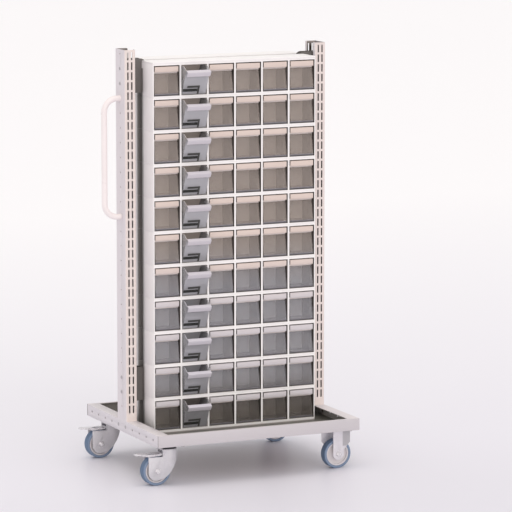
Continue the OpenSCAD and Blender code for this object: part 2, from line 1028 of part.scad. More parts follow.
module tyre() {
    rotate([90, 0, 0])
        rotate_extrude($fn = 96)
            translate([rim_r + tyre_gap, -tyre_w / 2])
                union() {
                    square([wheel_r - rim_r - tyre_gap - tyre_round, tyre_w]);
                    translate([0, tyre_round])
                        square([wheel_r - rim_r - tyre_gap, tyre_w - 2 * tyre_round]);
                    for (y = [tyre_round, tyre_w - tyre_round])
                        translate([wheel_r - rim_r - tyre_gap - tyre_round, y])
                            circle(tyre_round);
                }
}

module at_wheel(end, side) {
    seat()
        translate([side < 0 ? swivel_px - trail : fixed_px, end * caster_py, wheel_r])
            children();
}

module at_swivel(end) {
    seat()
        translate([swivel_px, end * caster_py, 0])
            children();
}

base_frame();
floor_pan();
left_post();
right_post();
post_feet();
bank_brackets();
push_handle();
fasteners();
front_bank();
rear_bank();
swivel_plates();
fixed_forks();
fixed_axles();
for (place = [["front", -1], ["rear", 1]]) {
    color("gainsboro") at_swivel(place[1]) swivel_fork();
    color("silver") at_swivel(place[1]) swivel_axle();
    color("lightgray") at_swivel(place[1]) brake_pedal();
    for (side = [["left", -1], ["right", 1]]) {
        color("lightgray") at_wheel(place[1], side[1]) wheel_hub();
        color("slategray") at_wheel(place[1], side[1]) tyre();
    }
}
for (row = [1 : rows]) {
    open_bin(row);
    front_bins(row);
    rear_bins(row);
}
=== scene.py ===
"""Looks of the double-sided tilt-bin trolley: metres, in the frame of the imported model."""
import json
import math

import bmesh
import bpy
from mathutils import Matrix, Vector

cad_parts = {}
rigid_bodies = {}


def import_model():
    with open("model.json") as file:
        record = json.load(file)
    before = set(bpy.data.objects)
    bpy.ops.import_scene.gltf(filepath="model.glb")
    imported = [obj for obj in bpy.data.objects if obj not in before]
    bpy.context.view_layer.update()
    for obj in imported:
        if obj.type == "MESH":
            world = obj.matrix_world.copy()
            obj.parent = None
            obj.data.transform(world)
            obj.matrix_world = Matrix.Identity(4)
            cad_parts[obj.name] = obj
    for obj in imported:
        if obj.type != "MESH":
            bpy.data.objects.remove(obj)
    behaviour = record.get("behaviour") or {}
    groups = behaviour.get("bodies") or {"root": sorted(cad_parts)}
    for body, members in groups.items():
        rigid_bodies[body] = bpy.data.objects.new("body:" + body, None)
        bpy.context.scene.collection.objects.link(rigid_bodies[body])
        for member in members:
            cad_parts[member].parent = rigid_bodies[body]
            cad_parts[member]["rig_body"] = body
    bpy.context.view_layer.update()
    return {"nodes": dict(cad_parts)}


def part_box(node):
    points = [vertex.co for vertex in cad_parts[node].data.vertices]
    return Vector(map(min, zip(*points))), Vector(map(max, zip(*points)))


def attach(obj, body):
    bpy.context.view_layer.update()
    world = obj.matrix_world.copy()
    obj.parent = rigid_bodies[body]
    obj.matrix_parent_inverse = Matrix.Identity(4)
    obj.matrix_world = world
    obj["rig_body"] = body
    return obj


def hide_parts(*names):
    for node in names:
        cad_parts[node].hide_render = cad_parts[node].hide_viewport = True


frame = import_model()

nodes = frame["nodes"]
MM = 0.001
X, Y, Z = range(3)
SQUARE = 0.7    # a normal's share along an axis above which its face counts as square to it

# The trolley's own sizes, in metres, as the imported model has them.
ROWS = 11
COLUMNS = 6
OPEN_COLUMN = 2
base_low, base_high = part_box("base_frame")
BASE_X = (base_low.x + base_high.x) / 2
RAIL_TOP = base_high.z
PAN_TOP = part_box("floor_pan")[1].z
SHEET = 2.5 * MM
POST_HALF = (base_high.x - base_low.x) / 2   # the posts' webs lie flush with the base's sides
POST_WIDTH, POST_DEPTH = 40 * MM, 80 * MM
POST_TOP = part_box("left_post")[1].z
BANK_WIDTH = 600 * MM
CELL_PITCH = BANK_WIDTH / COLUMNS
CELL_WIDTH = 93.5 * MM
CELL_HEIGHT = 102.2 * MM
CELL_DEPTH = 94 * MM
ROW_PITCH = 113.5 * MM
SHELF = 5.5 * MM
bank_low, bank_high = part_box("front_bank")
BANK_FRONT = -bank_low.y
ROWS_Z = bank_low.z + 5.5 * MM
BIN_WIDTH = 87.5 * MM
BIN_WALL = 2 * MM
PIVOT_Y = 10 * MM
PIVOT_Z = 10 * MM
FOOT_RADIUS = 9.4 * MM
NECK_LOW = 75.5 * MM
TILT = math.radians(33)


class Link:
    """An output socket of a node tree. Arithmetic on it adds Math nodes."""

    def __init__(self, tree, socket):
        self.tree, self.socket = tree, socket

    def __add__(self, other):
        return self.tree.math("ADD", self, other)

    def __sub__(self, other):
        return self.tree.math("SUBTRACT", self, other)

    def __rsub__(self, other):
        return self.tree.math("SUBTRACT", other, self)

    def __mul__(self, other):
        return self.tree.math("MULTIPLY", self, other)


class Tree:
    """A shader or geometry tree that is being built; node() adds every node in it."""

    def __init__(self, tree):
        self.tree = tree

    @staticmethod
    def find(sockets, key):
        if isinstance(key, int):
            return sockets[key]
        return next(s for s in sockets if s.enabled and key in (s.name, s.identifier))

    def node(self, kind, settings=None, values=None, out=0):
        """Adds a node: its settings first, then its sockets' values or links."""
        made = self.tree.nodes.new(kind)
        for key, value in (settings or {}).items():
            if key == "stops":
                ramp = made.color_ramp.elements
                while len(ramp) < len(value):
                    ramp.new(1.0)
                for element, (place, colour) in zip(ramp, value):
                    element.position, element.color = place, colour
            else:
                setattr(made, key, value)
        for key, value in (values or {}).items():
            socket = self.find(made.inputs, key)
            for one in value if isinstance(value, list) else [value]:
                if isinstance(one, Link):
                    self.tree.links.new(one.socket, socket)
                else:
                    socket.default_value = one
        if not made.outputs:
            return made
        return Link(self, self.find([s for s in made.outputs if s.enabled], out))

    def math(self, operation, a, b=0.0):
        return self.node("ShaderNodeMath", {"operation": operation}, {0: a, 1: b})

    def mix(self, share, a, b):
        return self.node(
            "ShaderNodeMix", {"data_type": "RGBA"}, {"Factor": share, "A": a, "B": b})

    def size(self, value):
        return self.math("ABSOLUTE", value)

    def under(self, value, limit):
        return self.math("LESS_THAN", value, limit)

    def over(self, value, limit):
        return self.math("GREATER_THAN", value, limit)

    def part(self, vector, axis):
        """One coordinate of a vector: along X (0), Y (1) or Z (2)."""
        return self.node("ShaderNodeSeparateXYZ", {}, {0: vector}, out=axis)

    def spread(self, value, low, high, to_low=0.0, to_high=1.0):
        return self.node("ShaderNodeMapRange", {}, {
            "Value": value, "From Min": low, "From Max": high,
            "To Min": to_low, "To Max": to_high})


def shade(red, green, blue):
    """A colour as it shows on screen, 0 to 255, as the linear value that nodes take."""
    def linear(value):
        value = value / 255
        return value / 12.92 if value <= 0.04045 else ((value + 0.055) / 1.055) ** 2.4
    return (linear(red), linear(green), linear(blue), 1.0)


def scaled(colour, factor):
    return tuple(min(1.0, c * factor) for c in colour[:3]) + (1.0,)


class Finish(Tree):
    """A material with one Principled shader, whose inputs are set or linked by name."""

    def __init__(self, name):
        self.material = bpy.data.materials.new(name)
        self.material.use_nodes = True
        super().__init__(self.material.node_tree)
        self.tree.nodes.clear()
        self.place = self.node("ShaderNodeTexCoord", out="Object")

    def noise(self, scale, detail=2.0, roughness=0.5, stretch=None):
        place = self.place
        if stretch:
            place = self.node(
                "ShaderNodeMapping", {}, {"Vector": self.place, "Scale": stretch})
        return self.node("ShaderNodeTexNoise", {}, {
            "Vector": place, "Scale": scale, "Detail": detail, "Roughness": roughness},
            out="Fac")

    def light_by_height(self, stops):
        """A colour that changes with the height over the rows of bins: painted light and shade."""
        return self.node("ShaderNodeValToRGB", {"stops": stops},
                         {0: self.spread(self.at(Z), 0.16, 1.4)}, out="Color")

    def between(self, value, low, high, blur):
        """1 between two values, 0 outside them, blurred over their edges."""
        return self.spread(value, low - blur, low + blur) * self.spread(
            value, high - blur, high + blur, 1.0, 0.0)

    def bump(self, height, distance, strength, under=None):
        values = {"Strength": strength, "Distance": distance, "Height": height}
        if under:
            values["Normal"] = under
        return self.node("ShaderNodeBump", {}, values)

    def facing(self, axis):
        """How far the true surface faces along an axis, -1 to 1."""
        return self.part(self.node("ShaderNodeNewGeometry", out="True Normal"), axis)

    def faces_along(self, axis):
        """1 on faces square to an axis, both ways round, else 0."""
        return self.over(self.size(self.facing(axis)), SQUARE)

    def at(self, axis):
        return self.part(self.place, axis)

    def own(self, axis):
        """A bin's own coordinate about its pivot, from the attribute that bin_shell() adds."""
        place = self.node("ShaderNodeAttribute", {"attribute_name": "own"}, out="Vector")
        return self.part(place, axis)

    def done(self, **sockets):
        shader = self.node("ShaderNodeBsdfPrincipled", {}, {
            key.replace("_", " "): value for key, value in sockets.items()})
        self.node("ShaderNodeOutputMaterial", {}, {"Surface": shader})
        return self.material


# Dust with painted warm light, on the enamel's upward faces
DUST_AND_TOP_LIGHT = shade(226, 216, 208)
LOW_STRIP_SHADE = shade(168, 162, 158)    # painted shade on the strip below the rows
TOP_STRIP = 26 * MM                 # the banks' cap, which the painted shade at the back leaves white
FOLD_SHADE_FOOT = 76 * MM                 # where the painted shade on the fixed forks' legs ends, above the floor
BAND_BLUR = 0.8                     # half the soft edge of a band, in mm


def post_inside_shade(f):
    """1 inside the posts' folded section, where little light reaches and shade is painted, else 0."""
    across, deep = f.size(f.at(X) - BASE_X), f.size(f.at(Y))
    fade_low, fade_high, top_share = POST_TOP - 20 * MM, POST_TOP - 4 * MM, 0.6
    room = f.under(deep, POST_DEPTH / 2 - SHEET / 2)
    room = room * f.under(across, POST_HALF - SHEET / 2)
    room = room * f.over(across, POST_HALF - POST_WIDTH + SHEET / 2)
    return room * f.spread(f.at(Z), fade_low, fade_high, 1.0, top_share)


def base_inside_shade(f):
    """1 on the inner faces of the base's rails above the floor pan, which take a painted shade, else 0.
    """
    room = f.under(f.size(f.at(X) - BASE_X), POST_HALF - SHEET / 2)
    room = room * f.under(f.size(f.at(Y)), base_high.y - SHEET / 2)
    room = room * f.under(f.at(Z), RAIL_TOP - SHEET / 2)
    return room * f.over(f.at(Z), PAN_TOP)


def corner_seam_shade(f):
    """1 on the joints where the side rails meet the end rails, seen on the sides, painted as a dark
    line of shade.
    """
    seam_half = 1.9 * MM
    away = f.size(f.size(f.at(Y)) - (base_high.y - SHEET))
    return f.under(away, seam_half) * f.faces_along(X)


def painted_metal(name, colour, gloss=0.42, peel=0.12, wear=0.5, inside=None, y_face_light=None,
                  seam_shade=None):
    """Stove enamel on sheet steel: orange peel, faint mottling, and dust with painted warm
    light on what faces up.

    inside is a mask and the painted shade that it takes; the colour for faces along Y is the
    painted light that falls on them, and that for the base's corner joints a painted shade line.
    """
    f = Finish(name)
    mottle = f.noise(9.0, detail=4.0, roughness=0.6)
    scuffs = f.spread(f.noise(55.0, detail=6.0, roughness=0.7), 0.62, 0.74, 0.0, wear)
    tint = f.mix(f.spread(mottle, 0.3, 0.7), scaled(colour, 0.965), scaled(colour, 1.02))
    tint = f.mix(scuffs * 0.25, tint, scaled(colour, 0.82))
    # Dust, and painted warm light, on what faces up
    dust = f.spread(f.facing(Z), 0.6, 1.0, 0.0, 0.35)
    tint = f.mix(dust * f.spread(mottle, 0.2, 0.8, 0.5, 1.0), tint, DUST_AND_TOP_LIGHT)
    # Painted light on faces along Y: warm on the posts' fronts, shade on the base's
    if y_face_light:
        level = f.faces_along(Y)
        tint = f.mix(level * f.spread(mottle, 0.3, 0.7, 0.92, 1.0), tint, y_face_light)
    # Painted shade inside, where little light reaches
    if inside:
        where, dark = inside
        tint = f.mix(where(f), tint, dark)
    # Painted shade in the corner joints
    if seam_shade:
        tint = f.mix(corner_seam_shade(f), tint, seam_shade)
    rough = f.spread(f.noise(24.0, detail=3.0), 0.3, 0.7, gloss - 0.06, gloss + 0.08)
    skin = f.bump(f.noise(620.0), 0.4 * MM, peel)
    skin = f.bump(f.noise(28.0, detail=1.0), 2 * MM, peel * 0.35, skin)
    return f.done(Base_Color=tint, Roughness=rough + scuffs * 0.12, Normal=skin)


def bright_metal(name, colour, gloss, metal, fold_shade=None):
    """Zinc plate or bare steel: a drawn grain, cloudy plating and a few dull spots.

    Past the given X a fork's legs take a painted shade, where the real legs fold back.
    """
    f = Finish(name)
    cloud = f.noise(38.0, detail=5.0, roughness=0.65)
    lines = f.noise(260.0, detail=3.0, roughness=0.6, stretch=(1.0, 1.0, 14.0))
    tint = f.mix(f.spread(cloud, 0.3, 0.72), scaled(colour, 0.9), scaled(colour, 1.05))
    tint = f.mix(f.spread(lines, 0.4, 0.75, 0.0, 0.2), tint, scaled(colour, 0.8))
    # Painted shade on the legs beyond their fold
    if fold_shade:
        edge = f.spread(f.at(X), fold_shade - 0.5 * MM, fold_shade + 0.5 * MM)
        above = f.spread(f.at(Z), FOLD_SHADE_FOOT, FOLD_SHADE_FOOT + 4 * MM)
        tint = f.mix(edge * above, tint, scaled(colour, 0.62))
    rough = f.spread(cloud, 0.3, 0.7, gloss - 0.05, gloss + 0.1)
    return f.done(
        Base_Color=tint, Metallic=metal, Roughness=rough + lines * 0.06,
        Normal=f.bump(lines, 0.2 * MM, 0.25))


def moulded_plastic(name, colour, gloss=0.38, x_face_shade=None, back=None):
    """Injection-moulded plastic: a fine spark-eroded grain and slight flow marks.

    The colour for faces along X is painted shade on them, back the painted shade on a bank's
    rear part between the banks, below the top strip; the strip below the rows takes painted shade with
    it.
    """
    f = Finish(name)
    flow = f.noise(14.0, detail=3.0, roughness=0.55, stretch=(1.0, 1.0, 2.5))
    tint = f.mix(f.spread(flow, 0.3, 0.7), scaled(colour, 0.975), scaled(colour, 1.01))
    # Painted shade on the faces along X
    if x_face_shade:
        tint = f.mix(f.faces_along(X), tint, x_face_shade)
    # Painted shade on the banks' rear part, between the banks, and on the strip below the rows
    if back:
        upright = f.under(f.size(f.facing(Z)), SQUARE)
        upright = upright * f.under(f.at(Z), bank_high.z - TOP_STRIP)
        rear = f.spread(f.size(f.at(Y)), 22 * MM, 32 * MM, 1.0, 0.0)
        tint = f.mix(upright * rear, tint, back)
        low = f.spread(f.at(Z), ROWS_Z - 3 * MM, ROWS_Z, 1.0, 0.0)
        tint = f.mix(low, tint, LOW_STRIP_SHADE)
    rough = f.spread(flow, 0.3, 0.7, gloss - 0.05, gloss + 0.06)
    skin = f.bump(f.noise(1400.0, detail=1.0), 0.15 * MM, 0.1)
    return f.done(Base_Color=tint, Roughness=rough, Normal=skin)


def clear_plastic(name, colour, cool, low, body, gloss=0.1, metal=0.0, bands=(), deep=None):
    """Smoky clear styrene of the bins, with painted light that turns cooler near the floor and
    painted shade that darkens the lowest row.

    Bands are (shade, alpha, left, right, bottom, top) on a bin's front, in mm from its pivot.
    deep is the painted shade, on the side walls behind the bin's neck, of the shaded cell seen through
    them.
    """
    f = Finish(name)
    haze = f.noise(30.0, detail=3.0, roughness=0.6)
    # Painted light and shade by height: warm above, cool near the floor, dark in the lowest row
    tint = f.light_by_height([
        (0.0, low), (0.06, low), (0.12, cool), (0.38, cool), (0.5, colour), (1.0, colour)])
    tint = f.mix(f.spread(haze, 0.3, 0.7, 0.0, 0.3), tint, scaled(colour, 0.8))
    alpha = f.spread(haze, 0.3, 0.7, body - 0.03, body + 0.03)
    for band, weight, left, right, bottom, top in bands:
        here = f.between(f.own(X) * (1 / MM), left, right, BAND_BLUR)
        here = here * f.between(f.own(Z) * (1 / MM), bottom, top, BAND_BLUR)
        tint = f.mix(here, tint, band)
        alpha = alpha * (1 - here) + here * weight
    # Painted shade on the side walls behind the neck
    if deep:
        behind = f.spread(f.own(Y), 14 * MM, 16 * MM)
        tint = f.mix(behind, tint, deep)
        alpha = alpha + behind * 0.25
    scratches = f.noise(420.0, detail=4.0, roughness=0.7, stretch=(1.0, 1.0, 0.2))
    return f.done(
        Base_Color=tint, Roughness=f.spread(haze, 0.3, 0.7, gloss - 0.03, gloss + 0.05),
        Metallic=metal, Alpha=alpha, Normal=f.bump(scratches, 0.2 * MM, 0.06))


def lip_plastic(name, colour, cool):
    """The frosted grip lips of the bins, with painted light: warm above and cool near the floor."""
    f = Finish(name)
    tint = f.light_by_height([(0.0, cool), (0.33, cool), (0.45, colour), (1.0, colour)])
    flow = f.noise(60.0, detail=3.0, roughness=0.6, stretch=(0.3, 1.0, 1.0))
    tint = f.mix(f.spread(flow, 0.3, 0.7, 0.0, 0.2), tint, scaled(colour, 0.88))
    return f.done(
        Base_Color=tint, Roughness=f.spread(flow, 0.3, 0.7, 0.3, 0.42),
        Normal=f.bump(f.noise(1100.0, detail=1.0), 0.15 * MM, 0.15))


def tyre_rubber(name, colour, edge):
    """Grey-blue rubber, dusty where it rolls."""
    f = Finish(name)
    dust = f.noise(70.0, detail=5.0, roughness=0.7)
    tint = f.mix(f.spread(dust, 0.4, 0.75, 0.0, 0.4), colour, edge)
    skin = f.bump(f.noise(900.0, detail=3.0), 0.3 * MM, 0.25)
    return f.done(
        Base_Color=tint, Roughness=f.spread(dust, 0.3, 0.7, 0.5, 0.68), Normal=skin)


def pan_paint(name):
    """Dark olive-grey sheet with scuffs and settled dust, warmer on its underside."""
    f = Finish(name)
    cloud = f.noise(7.0, detail=6.0, roughness=0.65)
    scratch = f.noise(45.0, detail=8.0, roughness=0.8, stretch=(1.0, 6.0, 1.0))
    tint = f.mix(f.spread(cloud, 0.3, 0.7), shade(98, 96, 90), shade(120, 117, 110))
    tint = f.mix(f.spread(scratch, 0.58, 0.7, 0.0, 0.5), tint, shade(150, 147, 140))
    tint = f.mix(f.under(f.facing(Z), -SQUARE), tint, shade(140, 124, 115))
    return f.done(
        Base_Color=tint, Roughness=f.spread(cloud, 0.3, 0.7, 0.34, 0.5),
        Normal=f.bump(f.noise(500.0), 0.3 * MM, 0.15))


# The base: painted shade on its faces along Y, inside its rails and in its corner joints
PAINT = painted_metal(
    "grey_enamel", shade(224, 219, 223), y_face_light=shade(206, 201, 204), seam_shade=shade(104, 99, 97),
    inside=(base_inside_shade, shade(176, 172, 167)))
# The posts: a slightly lighter copy of the enamel, painted warm light on their fronts and painted shade
# inside
PAINT_POST = painted_metal(
    "post_enamel", shade(228, 222, 225), y_face_light=shade(235, 223, 217),
    inside=(post_inside_shade, shade(66, 56, 50)))
PAINT_BRACKET = painted_metal("bracket_enamel", shade(108, 103, 100), wear=0.6)
PAINT_HANDLE = painted_metal("handle_enamel", shade(250, 242, 240), gloss=0.3, peel=0.05)
PAN = pan_paint("pan_enamel")
# The housing: painted shade on its faces along X, at the back between the banks and on the strip below
# the rows
HOUSING = moulded_plastic(
    "white_housing", shade(253, 250, 248), x_face_shade=shade(246, 242, 241), back=shade(132, 128, 125))
# The cells' inside: painted shade, darkest on the side walls; the open cell takes less, as more light
# falls into it
CELL_SHADED = moulded_plastic("cell_inside", shade(176, 170, 163), gloss=0.5, x_face_shade=shade(84, 78, 73))
CELL_OPEN_LIT = moulded_plastic("cell_inside_open", shade(196, 191, 186), gloss=0.5,
                            x_face_shade=shade(176, 171, 167))
# What shows on the bins' fronts, as clear_plastic takes it: painted shading on the curved foot,
# a light band on the neck and, on the open bin, painted dark reflections.
FOOT_SHADING = (shade(146, 144, 150), 0.8, -60, 60, -12, -2)
NECK = (shade(250, 240, 234), 0.9, -60, 60, 65.3, 72)
# Painted dark reflections on the open bin's front
REFLECTED_DARK, REFLECTED_DARK_LOW = shade(86, 86, 84), shade(66, 67, 65)
OPEN_BIN_REFLECTIONS = [
    (REFLECTED_DARK, 0.92, -29, 17, 21, 29), (REFLECTED_DARK, 0.92, 10, 17, -4, 29),
    (REFLECTED_DARK_LOW, 0.92, -44, 11, 7, 18)]
# The closed bins' plastic, with painted light and shade by height
CLEAR = clear_plastic(
    "smoky_clear", shade(210, 197, 187), shade(204, 204, 210), shade(128, 122, 116), 0.25,
    bands=[FOOT_SHADING, NECK])
# The bins' sides, rear walls and rims: shaded, lit and highlighted copies of the same plastic
CLEAR_SIDE_SHADE = clear_plastic(
    "smoky_side", shade(172, 160, 151), shade(162, 161, 164), shade(94, 90, 85), 0.5,
    deep=shade(72, 65, 61))
CLEAR_REAR_LIT = clear_plastic(
    "smoky_rear", shade(250, 236, 225), shade(238, 238, 244), shade(160, 153, 145), 0.75)
CLEAR_RIM_HIGHLIGHT = clear_plastic(
    "smoky_rim", shade(226, 220, 216), shade(220, 220, 226), shade(180, 176, 172), 0.75)
# The open bin: copies of the same plastic, coloured for the light that falls on the tilted bin
CLEAR_OPEN_LIT = clear_plastic(
    "smoky_open", shade(210, 210, 214), shade(208, 208, 213), shade(188, 188, 193), 0.62,
    gloss=0.07, metal=0.2, bands=OPEN_BIN_REFLECTIONS)
CLEAR_OPEN_SIDE_LIT = clear_plastic(
    "smoky_open_side", shade(186, 186, 188), shade(184, 184, 188), shade(168, 168, 171), 0.42)
LIP = lip_plastic("frosted_lip", shade(226, 209, 199), shade(214, 209, 212))
# The open bin's lip: painted light on the tilted lip
LIP_OPEN_LIT = lip_plastic("frosted_lip_open", shade(214, 209, 215), shade(214, 210, 217))
ZINC = bright_metal("zinc_plate", shade(214, 212, 216), gloss=0.34, metal=0.3)
axle_low, axle_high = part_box("fixed_axles")
# A lighter copy of the zinc, as painted light on the fixed forks
ZINC_FIXED_LIT = bright_metal(
    "zinc_fixed", shade(232, 229, 233), gloss=0.34, metal=0.3,
    fold_shade=(axle_low.x + axle_high.x) / 2 + 15 * MM)
STEEL = bright_metal("bright_steel", shade(236, 234, 236), gloss=0.2, metal=0.75)
BOLT = bright_metal("bolt_plate", shade(192, 188, 190), gloss=0.26, metal=0.6)
PRESSED = bright_metal("pressed_steel", shade(226, 224, 227), gloss=0.24, metal=0.45)
# Painted shade on the casters' races, in the gap under the base
RACE_SHADE = moulded_plastic("race_seal", shade(58, 56, 60), gloss=0.55)
HUB = moulded_plastic("hub_nylon", shade(224, 219, 220), gloss=0.34)
TYRE = tyre_rubber("tyre_rubber", shade(94, 118, 148), shade(130, 142, 158))
TYRE_SIDE = tyre_rubber("tyre_side", shade(124, 142, 168), shade(150, 160, 176))


WELD = 0.001 * MM           # points closer than this are one point
CAD_WELD = 0.02 * MM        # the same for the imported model's own meshes, before their edges are eased


def show(name, mesh):
    made = bpy.data.objects.new(name, mesh)
    bpy.context.scene.collection.objects.link(made)
    return made


def put_away(*things):
    for thing in things:
        bpy.data.objects.remove(thing)


def mesh_of(name, points, faces):
    mesh = bpy.data.meshes.new(name)
    mesh.from_pydata([tuple(p) for p in points], [], faces)
    mesh.validate()
    return mesh


def outward(mesh):
    """Welds a mesh and turns its faces outwards."""
    work = bmesh.new()
    work.from_mesh(mesh)
    bmesh.ops.remove_doubles(work, verts=work.verts, dist=WELD)
    bmesh.ops.recalc_face_normals(work, faces=work.faces)
    work.to_mesh(mesh)
    work.free()
    return mesh


def soften(mesh, degrees=32):
    mesh.shade_smooth()
    mesh.set_sharp_from_angle(angle=math.radians(degrees))
    return mesh


def prism(name, outline, half, axis="X"):
    """A side outline of (y, z) points, or (x, z) along Y, drawn out to both sides."""
    count = len(outline)
    points = []
    for side in (-half, half):
        for a, b in outline:
            points.append((side, a, b) if axis == "X" else (a, side, b))
    faces = [tuple(range(count)), tuple(range(2 * count - 1, count - 1, -1))]
    for i in range(count):
        j = (i + 1) % count
        faces.append((i, i + count, j + count, j))
    return outward(mesh_of(name, points, faces))


def turned(name, profile, segments=48, axis="Y", closed=True):
    """Turns (radius, along) points round an axis. A closed profile gives a ring."""
    points, rings = [], []
    for radius, along in profile:
        if radius == 0:
            rings.append([len(points)])
            points.append((0, along, 0))
            continue
        rings.append(list(range(len(points), len(points) + segments)))
        for i in range(segments):
            turn = 2 * math.pi * i / segments
            points.append((radius * math.cos(turn), along, radius * math.sin(turn)))
    faces = []
    pairs = list(zip(rings, rings[1:])) + ([(rings[-1], rings[0])] if closed else [])
    for a, b in pairs:
        for i in range(segments):
            j = (i + 1) % segments
            corner = [a[i % len(a)], a[j % len(a)], b[j % len(b)], b[i % len(b)]]
            corner = list(dict.fromkeys(corner))
            if len(corner) > 2:
                faces.append(corner)
    mesh = outward(mesh_of(name, points, faces))
    if axis == "Z":
        mesh.transform(Matrix.Rotation(math.radians(90), 4, "X"))
    if axis == "X":
        mesh.transform(Matrix.Rotation(math.radians(-90), 4, "Z"))
    return mesh


def settled(thing):
    """The plain mesh of an object with its modifiers applied; the object is put away."""
    mesh = bpy.data.meshes.new_from_object(
        thing.evaluated_get(bpy.context.evaluated_depsgraph_get()))
    put_away(thing)
    return mesh


def cut(body, hollow):
    """Cuts one mesh out of another."""
    thing, tool = show("cutting", body), show("tool", hollow)
    modifier = thing.modifiers.new("cut", "BOOLEAN")
    modifier.object, modifier.operation, modifier.solver = tool, "DIFFERENCE", "EXACT"
    mesh = settled(thing)
    put_away(tool)
    return mesh


def rounded(mesh, width, segments=2, degrees=30):
    """Rounds the sharp edges of a mesh over the given width."""
    work = bmesh.new()
    work.from_mesh(mesh)
    bmesh.ops.remove_doubles(work, verts=work.verts, dist=CAD_WELD)
    bmesh.ops.dissolve_limit(
        work, angle_limit=math.radians(0.5), verts=work.verts, edges=work.edges)
    work.to_mesh(mesh)
    work.free()
    thing = show("rounding", mesh)
    modifier = thing.modifiers.new("edge", "BEVEL")
    modifier.width, modifier.segments = width, segments
    modifier.limit_method, modifier.angle_limit = "ANGLE", math.radians(degrees)
    modifier.harden_normals = False
    modifier.use_clamp_overlap = True
    return soften(settled(thing), 40)


def painted(mesh, *finishes):
    """Gives a mesh these finishes in place of its own, one slot each."""
    mesh.materials.clear()
    for finish in finishes:
        mesh.materials.append(finish)
    return mesh


def eased(node, width, *finishes, segments=2):
    """A copy of a CAD node with its edges eased, which stands for that node."""
    mesh = rounded(nodes[node].data.copy(), width, segments)
    return fit(node + "_finished", painted(mesh, *finishes), nodes[node]["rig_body"], node)


def geometry_tree(name, inputs):
    """A Geometry Nodes tree with named inputs; returns it with a link for each input."""
    group = bpy.data.node_groups.new(name, "GeometryNodeTree")
    for label, kind in inputs.items():
        group.interface.new_socket(label, in_out="INPUT", socket_type="NodeSocket" + kind)
    group.interface.new_socket("Geometry", in_out="OUTPUT", socket_type="NodeSocketGeometry")
    tree = Tree(group)
    source = group.nodes.new("NodeGroupInput")
    links = {s.name: Link(tree, s) for s in source.outputs if s.name}
    return tree, links


def grown(name, tree, base=None, **values):
    """Runs a Geometry Nodes tree once and gives its result as a plain mesh."""
    holder = show(name, base or bpy.data.meshes.new(name))
    modifier = holder.modifiers.new("growth", "NODES")
    modifier.node_group = tree.tree
    for item in tree.tree.interface.items_tree:
        key = item.name.lower().replace(" ", "_")
        if item.in_out == "INPUT" and key in values:
            modifier[item.identifier] = values[key]
    mesh = settled(holder)
    mesh.name = name
    return mesh


def fit(name, mesh, body, node):
    """Puts a finished mesh on its body, in place of the CAD node that it stands for."""
    made = show(name, mesh)
    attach(made, body)
    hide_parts(node)
    return made


# The bins.

BIN_MARKS = ("side", "rear", "rim")     # face attributes that take a finish of their own: painted shade on the sides, painted light on the rear, a painted highlight on the rims


def bin_foot(radius, steps):
    """A quarter round about the pivot, from the front wall down to the floor."""
    turns = [math.pi / 2 * i / steps for i in range(steps + 1)]
    return [(PIVOT_Y - radius * math.cos(turn), PIVOT_Z - radius * math.sin(turn))
            for turn in turns]


def bin_shell():
    """One clear bin about its pivot: a rounded foot, floor, back, sides, front and neck."""
    back, back_top = PIVOT_Y - FOOT_RADIUS + 87 * MM, 66 * MM
    floor, top, above = PIVOT_Z - FOOT_RADIUS, CELL_HEIGHT - 5.7 * MM, 110 * MM
    neck, slope = 12 * MM, 38 * MM
    stub_radius, stub_long, stub_sunk = 2 * MM, 5 * MM, 0.6 * MM
    outline = bin_foot(FOOT_RADIUS, 6) + [
        (back, floor), (back, back_top), (slope, top), (neck, top), (neck, NECK_LOW)]
    hollow = bin_foot(FOOT_RADIUS - BIN_WALL, 4) + [
        (back - BIN_WALL, floor + BIN_WALL), (back - BIN_WALL, above),
        (neck + BIN_WALL, above), (neck + BIN_WALL, NECK_LOW)]
    mesh = cut(prism("bin", outline, BIN_WIDTH / 2),
               prism("room", hollow, BIN_WIDTH / 2 - BIN_WALL))
    mesh = rounded(mesh, 0.35 * MM, 1)
    stub = turned("stub", [(0, 0), (stub_radius, 0), (stub_radius, stub_long), (0, stub_long)],
                  12, "X", False)
    left, right = stub.copy(), stub.copy()
    start = BIN_WIDTH / 2 - stub_sunk
    left.transform(Matrix.Translation((-start - stub_long, PIVOT_Y, PIVOT_Z)))
    right.transform(Matrix.Translation((start, PIVOT_Y, PIVOT_Z)))
    mesh = joined("bin", mesh, left, right)
    marks = {key: mesh.attributes.new(key, "BOOLEAN", "FACE") for key in BIN_MARKS}
    for face in mesh.polygons:
        c, n = face.center, face.normal
        marks["side"].data[face.index].value = abs(n.x) > SQUARE
        marks["rear"].data[face.index].value = (
            c.y > back - 1.5 * BIN_WALL and abs(n.y) > SQUARE)
        marks["rim"].data[face.index].value = n.z > 0.3 and c.z > back_top - 6 * MM
    mesh.transform(Matrix.Translation((0, -PIVOT_Y, -PIVOT_Z)))
    own = mesh.attributes.new("own", "FLOAT_VECTOR", "POINT")
    for vertex in mesh.vertices:
        own.data[vertex.index].vector = vertex.co
    return mesh


